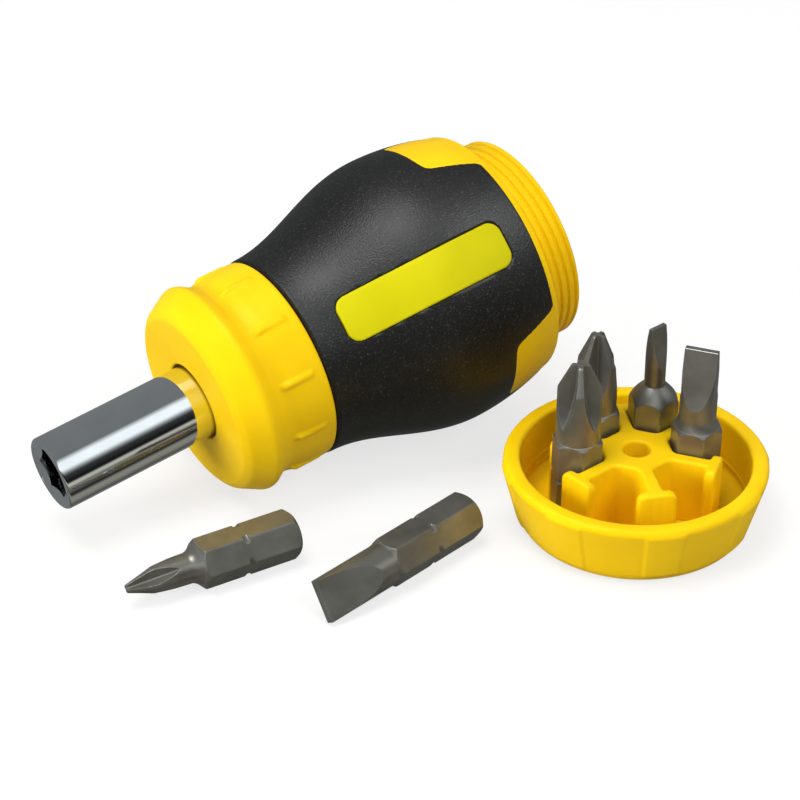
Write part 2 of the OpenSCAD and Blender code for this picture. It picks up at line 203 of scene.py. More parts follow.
def soften(points, step, passes):
    """A path sampled evenly, with its corners rounded by repeated averaging."""
    points = np.array(points, float)
    run = np.r_[0, np.cumsum(np.linalg.norm(np.diff(points, axis=0), axis=1))]
    at = np.linspace(0, run[-1], max(3, round(run[-1] / step)) + 1)
    path = np.stack([np.interp(at, run, points[:, k]) for k in (0, 1)], 1)
    for _ in range(passes):
        mean = (np.roll(path, 1, 0) + 2 * path + np.roll(path, -1, 0)) / 4
        mean[0], mean[-1] = path[0], path[-1]
        path = mean
    return path


def lathe(form, axes, profile, columns, shape, loop=False):
    """Turns (radius, height) rows round the axis. A profile that isn't a loop starts and
    ends on the axis. shape(angle, radius, height) gives each point's own radius."""
    angle = (np.arange(columns) * 360 / columns)[None, :]
    rows = np.array(profile, float)
    inner = rows if loop else rows[1:-1]
    radius, height = inner[:, :1], inner[:, 1:]
    radius = shape(angle, radius, height)
    index = form.put(axes.at(angle, radius + 0 * angle, height))
    form.quads(np.concatenate([index, index[:1]]) if loop else index)
    if not loop:
        ends = form.put(axes.at(0.0, np.zeros(2), rows[[0, -1], 1]))
        form.fan(index[0], int(ends[0]))
        form.fan(index[-1], int(ends[1]))


SLIVER = 0.1           # a cut keeps this share of a cell's side away from its corners


def contour(field, rows, columns, wrap):
    """Cuts a grid along the line where field is zero and keeps the positive side.
    Returns (row values, column values, field values, faces, border edges)."""
    n, m = field.shape
    inside = field >= 0
    index = -np.ones((n, m), int)
    index[inside] = np.arange(inside.sum())
    grid_r, grid_c = np.meshgrid(rows, columns, indexing="ij")
    r, c, f = grid_r[inside].tolist(), grid_c[inside].tolist(), field[inside].tolist()
    step = columns[1] - columns[0]
    cuts, faces = {}, []

    def crossing(a, b):
        key = (min(a, b), max(a, b))
        if key not in cuts:
            (i, j), (k, l) = key
            t = field[i, j % m] / (field[i, j % m] - field[k, l % m])
            t = min(1 - SLIVER, max(SLIVER, t))
            cuts[key] = len(r)
            r.append(rows[i] + (rows[k] - rows[i]) * t)
            c.append(columns[0] + step * (j + (l - j) * t))
            f.append(0.0)
        return cuts[key]

    for i in range(n - 1):
        for j in range(m if wrap else m - 1):
            ring = [(i, j), (i, j + 1), (i + 1, j + 1), (i + 1, j)]
            held = [inside[a, b % m] for a, b in ring]
            if not any(held):
                continue
            if all(held):
                faces.append([int(index[a, b % m]) for a, b in ring])
                continue
            face = []
            for k in range(4):
                a, b = ring[k], ring[(k + 1) % 4]
                if held[k]:
                    face.append(int(index[a[0], a[1] % m]))
                if held[k] != held[(k + 1) % 4]:
                    # the seam column has two names, so cuts are stored by the first
                    if a[1] == m and b[1] == m:
                        face.append(crossing((a[0], 0), (b[0], 0)))
                    else:
                        face.append(crossing(a, b))
            faces.append(face)
    edges = dict.fromkeys((a, b) for face in faces for a, b in zip(face, face[1:] + face[:1]))
    border = [(a, b) for a, b in edges if (b, a) not in edges]
    return np.array(r), np.array(c), np.array(f), faces, border


def sheet(form, place, field, rows, columns, outer, inner, wrap):
    """A closed shell over the part of a (row, column) grid where field is positive.
    place(row, column, level) gives points; outer and inner give the two skins' levels."""
    values = field(rows[:, None], columns[None, :])
    u, v, f, faces, border = contour(values, rows, columns, wrap)
    top = form.put(place(u, v, outer(u, v, f)))
    low = form.put(place(u, v, inner(u, v)))
    form.faces.extend([[int(top[k]) for k in face] for face in faces])
    form.faces.extend([[int(low[k]) for k in face[::-1]] for face in faces])
    form.faces.extend([[int(top[b]), int(top[a]), int(low[a]), int(low[b])] for a, b in border])


def rolled(distance, width, depth):
    """Drop of a surface near its edge: a quarter-round of that width and depth."""
    t = 1 - np.clip(distance / width, 0, 1)
    return depth * (1 - np.sqrt(1 - t * t))


def soft_min(a, b, blend):
    """The smaller of two values, with the crease between them rounded."""
    return (a + b - np.sqrt((a - b) ** 2 + blend)) / 2


def rounded_box(u, v, half_u, half_v, corner):
    """Distance outside a rectangle with rounded corners; negative inside it."""
    du, dv = np.abs(u) - half_u + corner, np.abs(v) - half_v + corner
    outside = np.hypot(np.maximum(du, 0), np.maximum(dv, 0))
    return outside + np.minimum(np.maximum(du, dv), 0) - corner


def hexagon(angle, across_flats):
    """Radius of a hexagon at an angle; a flat faces angle zero."""
    return across_flats / 2 / np.cos(np.radians((angle + 30) % 60 - 30))


def hump(distance, half):
    """A smooth hump: 1 at distance zero, 0 from half on."""
    return 0.5 + 0.5 * np.cos(np.pi * np.clip(np.abs(distance) / half, 0, 1))


# ---------------------------------------------------------------- materials


class Nodes:
    """A node tree with short ways to add to it."""

    def __init__(self, tree):
        self.tree = tree

    def node(self, kind, operation=None, **inputs):
        made = self.tree.nodes.new(kind)
        if operation:
            made.operation = operation
        for key, value in inputs.items():
            socket = made.inputs[key.replace("_", " ")]
            if isinstance(value, bpy.types.NodeSocket):
                self.tree.links.new(value, socket)
            else:
                socket.default_value = value
        return made

    def mixed(self, share, first, second):
        made = self.node("ShaderNodeMixShader", Fac=share)
        self.tree.links.new(first.outputs[0], made.inputs[1])
        self.tree.links.new(second.outputs[0], made.inputs[2])
        return made

    def ramp(self, fac, *stops):
        made = self.node("ShaderNodeValToRGB", Fac=fac)
        ramp = made.color_ramp
        while len(ramp.elements) < len(stops):
            ramp.elements.new(0.5)
        for element, (position, colour) in zip(ramp.elements, stops):
            element.position = position
            element.color = (*colour, 1)
        return made.outputs["Color"]


EDGE_MM, UNWORN_COS, WORN_COS = 0.12, 0.985, 0.9      # a metal's worn edges


class Shader(Nodes):
    """A material: nodes round one Principled BSDF."""

    def __init__(self, name):
        self.material = bpy.data.materials.new(name)
        self.material.use_nodes = True
        super().__init__(self.material.node_tree)
        self.bsdf = next(n for n in self.tree.nodes if n.type == "BSDF_PRINCIPLED")
        self.where = self.node("ShaderNodeTexCoord").outputs["Object"]
        self.height = None       # the last bump node's normal

    def set(self, **values):
        for key, value in values.items():
            self.bsdf.inputs[key.replace("_", " ")].default_value = value

    def link(self, out, socket):
        self.tree.links.new(out, self.bsdf.inputs[socket])

    def noise(self, size_mm, detail=3.0, stretch=None):
        """Noise of a given grain size in mm, drawn out along the row's axes by stretch."""
        where = self.where
        if stretch:
            where = self.node("ShaderNodeMapping", Vector=where, Scale=stretch).outputs[0]
        return self.node("ShaderNodeTexNoise", Vector=where, Detail=detail,
                         Scale=1 / (size_mm * MM)).outputs["Fac"]

    def between(self, fac, low, high):
        return self.node("ShaderNodeMapRange", Value=fac, To_Min=low, To_Max=high).outputs["Result"]

    def bump(self, height, distance_mm, strength=1.0):
        made = self.node("ShaderNodeBump", Height=height, Distance=distance_mm * MM,
                         Strength=strength)
        if self.height is not None:
            self.tree.links.new(self.height, made.inputs["Normal"])
        self.height = made.outputs["Normal"]
        self.link(self.height, "Normal")

    def worn_edges(self, colour, worn):
        """Mixes a worn colour in where the surface turns away from its own rounded copy."""
        bevel = self.node("ShaderNodeBevel", Radius=EDGE_MM * MM)
        bevel.samples = 4
        flat = self.node("ShaderNodeNewGeometry").outputs["Normal"]
        turned = self.node("ShaderNodeVectorMath", "DOT_PRODUCT", Vector=bevel.outputs["Normal"])
        self.tree.links.new(flat, turned.inputs[1])
        edge = self.node("ShaderNodeMapRange", Value=turned.outputs["Value"],
                         From_Min=UNWORN_COS, From_Max=WORN_COS)
        mix = self.node("ShaderNodeMix")
        mix.data_type = "RGBA"
        self.tree.links.new(edge.outputs["Result"], mix.inputs["Factor"])
        self.tree.links.new(colour, mix.inputs["A"])
        mix.inputs["B"].default_value = (*worn, 1)
        return mix.outputs["Result"]


def moulded_plastic(name, dark, light, roughness, subsurface):
    """Slightly see-through plastic with cloudy colour, a fine grain and shallow waves."""
    s = Shader(name)
    s.set(IOR=1.33, Subsurface_Weight=subsurface, Subsurface_Scale=1.2 * MM,
          Subsurface_Radius=(1.0, 0.55, 0.1), Specular_Tint=(1.0, 0.92, 0.4, 1))
    cloudy = s.noise(9, 2)
    s.link(s.ramp(cloudy, (0.3, dark), (0.7, light)), "Base Color")
    s.link(s.between(s.noise(2.5, 4), roughness - 0.05, roughness + 0.07), "Roughness")
    s.bump(s.noise(0.25, 2), 0.006, 0.5)
    s.bump(s.noise(3.5, 1), 0.05, 0.35)
    return s.material


def rubber(name):
    """Black rubber with a sandy grain; the grain's highest points carry light grey specks, a
    painted sparkle.
    """
    s = Shader(name)
    s.set(IOR=1.5)
    grain = s.noise(0.28, 2)
    # the lightest stop paints sparkle as light specks on the grain's high points
    tone = s.ramp(grain, (0.3, (0.0025, 0.0025, 0.002)), (0.6, (0.0045, 0.0045, 0.004)),
                  (0.78, (0.045, 0.046, 0.048)))
    s.link(tone, "Base Color")
    s.link(s.between(s.noise(6, 3), 0.38, 0.5), "Roughness")
    s.bump(grain, 0.07, 0.8)
    s.bump(s.noise(0.7, 2), 0.04, 0.3)
    return s.material


def metal(name, dark, light, rough, grain_mm, bump_mm, stretch=None, worn=None, metallic=1.0):
    """Metal with patches between two colours. One grain drives its roughness and its bump."""
    s = Shader(name)
    s.set(Metallic=metallic)
    colour = s.ramp(s.noise(4, 3), (0.32, dark), (0.68, light))
    if worn:
        colour = s.worn_edges(colour, worn)
    s.link(colour, "Base Color")
    grain = s.noise(grain_mm, 3, stretch)
    s.link(s.between(grain, *rough), "Roughness")
    s.bump(grain, bump_mm, 0.6)
    return s.material


FINISH = {
    "yellow_plastic": moulded_plastic(
        "yellow_plastic", dark=(0.82, 0.51, 0.002), light=(0.89, 0.575, 0.004),
        roughness=0.44, subsurface=0.12),
    "label_yellow": moulded_plastic(
        "label_yellow", dark=(0.52, 0.47, 0.002), light=(0.57, 0.52, 0.004),
        roughness=0.5, subsurface=0.05),
    "black_rubber": rubber("black_rubber"),
    "chrome": metal(
        "chrome", dark=(0.80, 0.81, 0.83), light=(0.86, 0.87, 0.89),
        rough=(0.03, 0.07), grain_mm=3, bump_mm=0.002),
    "bit_steel": metal(
        "bit_steel", dark=(0.180, 0.173, 0.150), light=(0.245, 0.240, 0.215),
        rough=(0.27, 0.42), grain_mm=0.12, bump_mm=0.014, worn=(0.36, 0.36, 0.345),
        metallic=0.75),
    "hardened_steel": metal(
        "hardened_steel", dark=(0.26, 0.27, 0.29), light=(0.38, 0.39, 0.41),
        rough=(0.2, 0.36), grain_mm=0.3, bump_mm=0.004, stretch=(1, 6, 1),
        worn=(0.6, 0.6, 0.6)),
    "spring_steel": metal(
        "spring_steel", dark=(0.46, 0.47, 0.49), light=(0.6, 0.61, 0.63),
        rough=(0.16, 0.3), grain_mm=0.3, bump_mm=0.003),
    "zinc": metal(
        "zinc", dark=(0.48, 0.49, 0.5), light=(0.6, 0.61, 0.62),
        rough=(0.34, 0.5), grain_mm=0.6, bump_mm=0.012),
    "magnet": metal(
        "magnet", dark=(0.4, 0.4, 0.41), light=(0.5, 0.5, 0.5),
        rough=(0.2, 0.34), grain_mm=0.5, bump_mm=0.004),
}
for cad_name, cad_node in NODES.items():
    cad_node.data.materials.clear()
    cad_node.data.materials.append(FINISH[SLOTS[cad_name]])

# ---------------------------------------------------------------- the handle's stations

toward_tip = np.array(MOUNTS["holder_barrel"]["axis"], float)
handle = Axes(MOUNTS["bit_socket"]["pos_m"], (0, 0, 1), -toward_tip)

_, grip_rad, grip_h = handle.measure("grip")
LINE, REAR = grip_h.min(), grip_h.max()      # the grip's front and rear edges
WAIST_R = grip_rad[grip_h < LINE + SAME].max()
GRIP_T = WAIST_R - grip_rad[grip_h < LINE + SAME].min()
BELLY_R = grip_rad.max()
BELLY = grip_h[grip_rad > BELLY_R - 0.002].mean()
SHOULDER_R = grip_rad[grip_h > REAR - SAME].max()
_, core_rad, core_h = handle.measure("handle_core")
END = core_h.max()
BORE_R = core_rad[core_h > END - SAME].min()
STORE = core_h[abs(core_rad - BORE_R) < SAME].min()      # floor of the bit store
NECK = REAR + 1.33                                       # foot of the threaded neck
CREST_R = core_rad[core_h > NECK + 0.3].max()
THREAD_PITCH, THREAD_AT, THREAD_DEPTH, THREAD_HALF = 1.28, 77.42, 0.34, 0.27
label_a, _, label_h = handle.measure("label")
LABEL_TURN = float(np.mean([min(label_a), max(label_a)]))
LABEL_FROM, LABEL_TO = label_h.min(), label_h.max()
LABEL_HALF, LABEL_CORNER = 3.5, 2.0
WINDOW_TURNS = [LABEL_TURN + 60 + 120 * k for k in range(3)]
WINDOW_LEN, WINDOW_HALF, WINDOW_FLARE = 8.05, 6.05, 0.18
SKIN = 0.05            # how far the core's windows lie below the grip's surface
GRIP_END = REAR + 0.1
RUBBER_LAP = 0.14      # how far the rubber laps over a window's edge
LABEL_GAP, LABEL_RECESS, LABEL_UNDER = 0.05, 0.45, 0.48


def barrel(s):
    """Outer radius of the grip: a smooth swell, then a shallow fall to the shoulder."""
    swell = WAIST_R + (BELLY_R - WAIST_R) * (1 - np.cos(np.pi * (s - LINE) / (BELLY - LINE))) / 2
    fall = BELLY_R - (BELLY_R - SHOULDER_R) * ((s - BELLY) / (REAR - BELLY)) ** 2
    return np.where(s < BELLY, swell, fall)


def window_distance(s, angle):
    """Distance outside the nearest yellow window's outline, in mm; negative inside it."""
    front = REAR - WINDOW_LEN
    straight = WINDOW_HALF + (s - front) * WINDOW_FLARE
    flare = np.clip((s - REAR + 1.0) / 1.05, 0, 1)
    half = straight + 1.0 * (1 - np.sqrt(1 - flare * flare))
    out = np.inf
    for turn in WINDOW_TURNS:
        across = np.abs(np.radians(wrapped(angle - turn))) * barrel(s)
        out = np.minimum(out, -soft_min(s - front, half - across, 0.9))
    return out


def label_distance(s, angle):
    """Distance outside the label bar's rounded outline, in mm; negative inside it."""
    across = np.radians(wrapped(angle - LABEL_TURN)) * barrel(s)
    along = s - (LABEL_FROM + LABEL_TO) / 2
    return rounded_box(across, along, LABEL_HALF, (LABEL_TO - LABEL_FROM) / 2, LABEL_CORNER)


# ---------------------------------------------------------------- handle pieces


def on_handle(s, angle, radius):
    return handle.at(angle, radius, s)


def rubber_field(s, angle):
    """Distance inside the rubber's outline, which leaves the windows free."""
    ends = np.minimum(s - LINE, GRIP_END - s)
    return np.minimum(window_distance(s, angle) + RUBBER_LAP, ends + 0 * angle)


def grip_outer(s, angle, inside):
    """The rubber's skin: rolled edges, and a recess under the label."""
    recess = LABEL_RECESS * smooth(0.5 - (label_distance(s, angle) - 0.02) / 0.16)
    return barrel(s) - rolled(inside, 0.4, 0.3) - recess


form = Form()
sheet(
    form, on_handle, rubber_field,
    np.linspace(LINE, GRIP_END, 142), np.arange(ROUND) * 360 / ROUND,
    grip_outer, lambda s, angle: barrel(s) - GRIP_T, True,
)
form.object("rubber_grip", "handle", "grip", 40)

form = Form()
sheet(
    form, on_handle, lambda s, angle: -LABEL_GAP - label_distance(s, angle),
    np.linspace(LABEL_FROM - 0.4, LABEL_TO + 0.4, 136),
    LABEL_TURN + np.linspace(-15, 15, 96),
    lambda s, angle, inside: barrel(s) - 0.02 - rolled(inside, 0.25, 0.2),
    lambda s, angle: barrel(s) - LABEL_UNDER, False,
)
form.object("label_bar", "handle", "label", 40)


def core_radius(angle, radius, s):
    """Under the rubber the core is thinner; it comes flush in the windows and the shoulder,
    and the neck carries a one-start thread."""
    cover = np.minimum(window_distance(s, angle), REAR - s)
    flush = barrel(s) - SKIN
    under = (s < REAR + SKIN) & (radius > SHOULDER_R - 6) & (cover > 0.4)
    body = np.where(under, np.minimum(radius, flush - GRIP_T), radius)
    turn = (s - THREAD_AT - THREAD_PITCH * angle / 360) / THREAD_PITCH
    valley = hump(turn - np.round(turn), THREAD_HALF)
    fade = smooth((s - NECK - 0.5) / 0.4) * smooth((END - 0.15 - s) / 0.3)
    thread = (radius > CREST_R - 0.3) & (s > NECK + 0.3)
    return np.where(thread, body - THREAD_DEPTH * valley * fade, body)


SEAT_R, SEAT_DEPTH = 11.03, 9.9              # the pocket that holds the ratchet's housing
front = [[0, LINE + SEAT_DEPTH], [SEAT_R, LINE + SEAT_DEPTH], [SEAT_R, LINE],
         [WAIST_R - GRIP_T, LINE]]
steps = np.linspace(LINE + 0.1, REAR, 160)
skin = np.stack([barrel(steps) - SKIN, steps], 1)
shoulder = soften(
    [[SHOULDER_R - SKIN, REAR], [SHOULDER_R - 0.2, REAR + 0.8], [SHOULDER_R - 1.7, NECK + 0.1],
     [CREST_R + 0.5, NECK + 0.35], [CREST_R, NECK + 0.6], [CREST_R, NECK + 1.0]], 0.12, 5)
neck = dense([[CREST_R, NECK + 1.0], [CREST_R, END - 0.35]], 0.08)
mouth = soften(
    [[CREST_R, END - 0.35], [CREST_R, END - 0.25], [CREST_R - 0.35, END], [BORE_R + 0.3, END],
     [BORE_R, END - 0.3], [BORE_R, END - 1]], 0.08, 3)
STORE_ROUND = 0.9
floor_curve = arc(BORE_R - STORE_ROUND, STORE + STORE_ROUND, STORE_ROUND, 0, -90)
profile = np.concatenate(
    [front, skin, shoulder[1:], neck[1:], mouth[1:], floor_curve, [[0, STORE]]])
form = Form()
lathe(form, handle, profile, ROUND, core_radius)
form.object("handle_body", "handle", "handle_core", 33)

# ---------------------------------------------------------------- selector collar

_, collar_rad, collar_h = handle.measure("selector_collar")
FACE, COLLAR_END = collar_h.min(), collar_h.max()
FLANGE_R, BARREL_R = collar_rad.max(), float(MOUNTS["holder_barrel"]["dims"]["r_mm"])
HOLE_R, HOLE_ROUND = collar_rad[collar_h < FACE + 1].min(), 0.35
CREST = INNER_FACE = FACE + 4.3              # the flange is widest over the wall's inner face
RING_R, INNER_R = FLANGE_R - 0.6, 12.45      # the rear ring, and the bore over the housing
RIDGES, RIDGE_TURN, RIDGE_HALF, RIDGE_H = 11, 33.5, 2.8, 0.2
ball_a, ball_rad, ball_s = handle.measure("detent_ball")
BALL_TURN, BALL_R = (ball_a.max() + ball_a.min()) / 2, (ball_s.max() - ball_s.min()) / 2
BALL_AT, BALL_S = (ball_rad.max() + ball_rad.min()) / 2, (ball_s.max() + ball_s.min()) / 2
BALL_TRAVEL = JOINTS["detent_press"]["range_m"][1] / MM
PIT_R, PIT_REACH = BALL_R + 0.1, 1.1         # the rows are dense this far from the pits


def detent_pits(angle, radius, s):
    """The collar's bore, with a round pit for the ball at each of its three settings."""
    deepest = radius + 0 * angle
    for click in (*JOINTS["selector_turn"]["range_deg"], 0):
        off = np.radians(angle - BALL_TURN - click)
        centre_r = BALL_AT + BALL_TRAVEL
        room = PIT_R ** 2 - (s - BALL_S) ** 2 - (centre_r * np.sin(off)) ** 2
        pit = centre_r * np.cos(off) + np.sqrt(np.maximum(room, 0))
        deepest = np.where((room > 0) & (np.cos(off) > 0), np.maximum(deepest, pit), deepest)
    return deepest


def nearest_off(angle, count, turn):
    """Angle to the nearest of a number of evenly spaced marks, one of them at turn."""
    step = 360 / count
    return np.abs((angle - turn + step / 2) % step - step / 2)


def collar_radius(angle, radius, s):
    """Pits in the bore, and short ridges round the ring."""
    bore = (np.abs(radius - INNER_R) < SAME) & (np.abs(s - BALL_S) < BALL_R)
    radius = np.where(bore, detent_pits(angle, radius, s), radius + 0 * angle)
    off = nearest_off(angle, RIDGES, RIDGE_TURN)
    across = smooth((RIDGE_HALF - off) / (RIDGE_HALF * 0.8))
    along = smooth((s - CREST - 2.7) / 1.5) * smooth((COLLAR_END - 1.5 - s) / 0.9)
    top = RING_R + RIDGE_H
    raised = (radius > INNER_R + 1) & (s > CREST + 2.4)
    return np.where(raised, radius + (top - radius) * across * along, radius)


outer = soften(
    [[HOLE_R + 0.4, FACE], [FLANGE_R - 2.85, FACE], [FLANGE_R - 1.75, FACE + 0.75],
     [FLANGE_R + 0.03, CREST - 0.35], [FLANGE_R + 0.03, CREST + 0.3], [FLANGE_R - 1.0, CREST + 2.0],
     [RING_R - 0.55, CREST + 3.0], [RING_R - 0.12, CREST + 4.8], [RING_R, COLLAR_END - 3.2],
     [RING_R, COLLAR_END - 0.25], [RING_R - 0.35, COLLAR_END], [INNER_R, COLLAR_END]],
    0.13, 9)
loop = np.concatenate([
    outer,
    dense([[INNER_R, BALL_S + PIT_REACH], [INNER_R, BALL_S - PIT_REACH]], 0.07),
    [[INNER_R, INNER_FACE], [HOLE_R, INNER_FACE], [HOLE_R, FACE + HOLE_ROUND]],
    arc(HOLE_R + HOLE_ROUND, FACE + HOLE_ROUND, HOLE_ROUND, 180, 270, 4)[1:],
])
form = Form()
lathe(form, handle, loop, 528, collar_radius, True)
form.object("selector_sleeve", "selector", "selector_collar", 38)

# ---------------------------------------------------------------- springs

TURN_STEPS, WIRE_SIDES = 40, 12


def coil_spring(node, joint, turns, wire, fixed_outside):
    """A helix of wire in the place of its CAD node, along the joint's axis. It does not shorten as
    the joint moves; fixed_outside only sets an anchor that nothing uses. wire is the wire's radius."""
    heights = handle.measure(node)[2]
    middle = handle.at(0.0, 0.0, (heights.min() + heights.max()) / 2)
    seat = Axes(middle, handle.z, JOINTS[joint]["axis"])
    _, radii, heights = seat.measure(node)
    low, high, coil_r = heights.min(), heights.max(), radii.max() - wire
    t = np.linspace(0, 1, TURN_STEPS * turns + 1)[:, None]
    phi = np.arange(WIRE_SIDES) * math.tau / WIRE_SIDES
    ring = seat.at(360 * turns * t, coil_r + wire * np.cos(phi),
                   low + wire + (high - low - 2 * wire) * t + wire * np.sin(phi))
    form = Form()
    index = form.put(ring)
    form.quads(index)
    tips = form.put(seat.at(np.array([0.0, 360.0 * turns]), coil_r,
                            np.array([low + wire, high - wire])))
    form.fan(index[0], int(tips[0]))
    form.fan(index[-1], int(tips[1]))
    piece = form.object(node + "_coil", "handle", node, 60)
    anchor = seat.at(0.0, 0.0, high if fixed_outside else low)
    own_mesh(piece)


for side in ("forward", "reverse"):
    coil_spring(side + "_pawl_spring", side + "_pawl_lift",
                turns=4, wire=0.16, fixed_outside=True)
coil_spring("detent_spring", "detent_press", turns=3, wire=0.12, fixed_outside=False)

# ---------------------------------------------------------------- bit holder

HOLDER_END = handle.measure("bit_holder")[2].max()
SOCKET_AF, SOCKET_DEPTH = HEX_AF + 0.1, 12.0
SOCKET_R = 3.3                       # stands for the hexagon in the profile's rows
MOUTH_R, MOUTH_SLOPE = 4.62, 2.0     # the cone at the socket's mouth
MOUTH_ROUND, NOSE_ROUND = 0.16, 0.5
MAGNET_R, MAGNET_DEPTH = 2.975, 15.2
GROOVE_R, GROOVE_FROM, GROOVE_TO = 4.17, 4.0, 4.8
GEAR, GEAR_W, DRIVE_AF, DRIVE_R = LINE - 8.1, 6.0, 8.6, 4.3
JOURNAL_R, CLIP_R, CLIP_FROM, CLIP_TO = 4.2, 3.7, HOLDER_END - 1.7, HOLDER_END - 0.8
STEM_R = BARREL_R - 0.4              # behind the collar's face


def holder_radius(angle, radius, s):
    """Hexagonal where it drives the gear and inside the socket, which a cone opens out."""
    socket = (np.abs(radius - SOCKET_R) < SAME) & (s < SOCKET_DEPTH + SAME)
    cone = MOUTH_R - MOUTH_SLOPE * np.clip(s, 0, 3)
    inside = np.maximum(hexagon(angle, SOCKET_AF), cone)
    drive = np.abs(radius - DRIVE_R) < SAME
    return np.where(socket, inside, np.where(drive, hexagon(angle, DRIVE_AF), radius + 0 * angle))


profile = np.concatenate([
    [[0, MAGNET_DEPTH], [MAGNET_R, MAGNET_DEPTH], [MAGNET_R, SOCKET_DEPTH]],
    [[SOCKET_R, SOCKET_DEPTH], [SOCKET_R, GROOVE_TO], [GROOVE_R, GROOVE_TO]],
    [[GROOVE_R, GROOVE_FROM], [SOCKET_R, GROOVE_FROM]],
    dense([[SOCKET_R, 0.9], [SOCKET_R, 0.07]], 0.02),
    arc(MOUTH_R, MOUTH_ROUND, MOUTH_ROUND, 215, 270, 4),
    arc(BARREL_R - NOSE_ROUND, NOSE_ROUND, NOSE_ROUND, -90, 0),
    [[BARREL_R, FACE + 0.7], [STEM_R, FACE + 0.8], [STEM_R, GEAR - 1.02]],
    [[DRIVE_R, GEAR - 1.0], [DRIVE_R, GEAR + GEAR_W], [JOURNAL_R, GEAR + GEAR_W + 0.02]],
    [[JOURNAL_R, CLIP_FROM], [CLIP_R, CLIP_FROM], [CLIP_R, CLIP_TO], [JOURNAL_R, CLIP_TO]],
    [[JOURNAL_R, HOLDER_END - 0.4], [JOURNAL_R - 0.4, HOLDER_END], [0, HOLDER_END]],
])
form = Form()
lathe(form, handle, profile, 360, holder_radius)
form.object("chrome_holder", "holder", "bit_holder", 25)

# ---------------------------------------------------------------- cap

cap_axes = Axes(MOUNTS["cap_base"]["pos_m"], (1, 0, 0), (0, 0, 1))
_, cap_rad, cap_h = cap_axes.measure("cap")
CAP_H, RIM_R, CAP_FLOOR = cap_h.max(), cap_rad.max(), 1.5
RIM_IN = cap_rad[cap_h > CAP_H - SAME].min()
BASE_R = 16.15
PADS, PAD_TURN, PAD_HALF, PAD_H = 8, 19.6, 8.5, 0.22
INNER_THREAD_H, INNER_THREAD_HALF = 0.1, 0.3
STUD_R, STUD_H = 1.75, 6.4


def cap_radius(angle, radius, z):
    """Low pads round the wall, and a shallow thread inside it."""
    off = nearest_off(angle, PADS, PAD_TURN)
    across = smooth((PAD_HALF + 0.5 - off) / 1.1)
    along = smooth((z - 0.9) / 0.9) * smooth((CAP_H - 0.35 - z) / 0.9)
    wall = BASE_R + (RIM_R - BASE_R) * z / CAP_H
    raised = radius + PAD_H * across * along
    turn = (z - 3.0 - THREAD_PITCH * angle / 360) / THREAD_PITCH
    ridge = hump(turn - np.round(turn), INNER_THREAD_HALF)
    fade = smooth((z - 2.4) / 0.4) * smooth((4.6 - z) / 0.5)
    threaded = (radius < RIM_IN + 0.1) & (radius > RIM_IN - 0.9)
    inner = np.where(threaded, radius - INNER_THREAD_H * ridge * fade, radius + 0 * angle)
    return np.where(radius > wall - 1.0, raised, inner)


outside = soften(
    [[2, 0], [BASE_R - 1.55, 0], [BASE_R - 0.35, 0.35], [BASE_R + 0.35, 1.5],
     [RIM_R - 0.1, CAP_H - 0.75], [RIM_R - 0.45, CAP_H - 0.12], [RIM_R - 1.0, CAP_H],
     [RIM_IN + 0.25, CAP_H], [RIM_IN - 0.03, CAP_H - 0.3], [RIM_IN - 0.1, CAP_H - 1.2],
     [RIM_IN - 0.3, 5]], 0.14, 6)
inside = dense([[RIM_IN - 0.3, 5], [RIM_IN - 0.42, 2.6]], 0.08)[1:]
bottom = soften(
    [[RIM_IN - 0.42, 2.6], [RIM_IN - 0.6, 2.2], [RIM_IN - 1.8, CAP_FLOOR],
     [STUD_R + 0.4, CAP_FLOOR], [STUD_R, CAP_FLOOR + 0.3], [STUD_R, 3]], 0.15, 4)[1:]
stud = [[STUD_R, STUD_H - 0.4], [STUD_R - 0.35, STUD_H], [0, STUD_H]]
form = Form()
lathe(form, cap_axes, np.concatenate([[[0, 0]], outside, inside, bottom, stud]), ROUND, cap_radius)
form.object("end_cap", "cap", "cap", 40)

# ---------------------------------------------------------------- rack

rack_a, rack_rad, rack_h = cap_axes.measure("bit_rack")
RACK_LOW, RACK_TOP = rack_h.min(), rack_h.max()
HUB_R, HUB_BORE, ARMS = 4.9, 1.85, 6
far = rack_rad > rack_rad.max() - 0.05
# the arms' direction is the mean over the farthest vertices, whichever arm each belongs to
spin = np.mean(np.exp(ARMS * 1j * np.radians(rack_a[far])))
ARM_TURN = float(np.degrees(np.angle(spin))) / ARMS
ARM_HALF, ARM_END = 1.0, 10.3
HEAD_END, HEAD_HALF, SHOULDER = 11.8, 2.8, 1.3       # the T end of an arm


def arm_frame(y, x):
    """A point folded into its nearest arm's own frame: (along the arm, off its middle)."""
    turn = np.degrees(np.arctan2(y, x)) - ARM_TURN
    step = 360 / ARMS
    off = np.radians(turn - step * np.round(turn / step))
    reach = np.hypot(x, y)
    return reach * np.cos(off), np.abs(reach * np.sin(off))


def merge(a, b, blend):
    """The nearer of two distances, with the inside corner between them filled."""
    h = np.clip(0.5 + 0.5 * (b - a) / blend, 0, 1)
    return b + (a - b) * h - blend * h * (1 - h)


def rack_inside(y, x):
    """Distance inside the rack's outline: a six-sided hub, six arms and their T ends."""
    u, v = arm_frame(y, x)
    hub = u * math.cos(math.radians(30)) + v * math.sin(math.radians(30)) - HUB_R
    arm = rounded_box(u - ARM_END / 2, v, ARM_END / 2 + 0.5, ARM_HALF, 0.1)
    head = rounded_box(u - (ARM_END + HEAD_END) / 2, v, (HEAD_END - ARM_END) / 2, HEAD_HALF, 0.5)
    solid = merge(merge(hub, arm, 0.7), head, 0.6)
    return -np.maximum(solid, HUB_BORE - np.hypot(x, y))


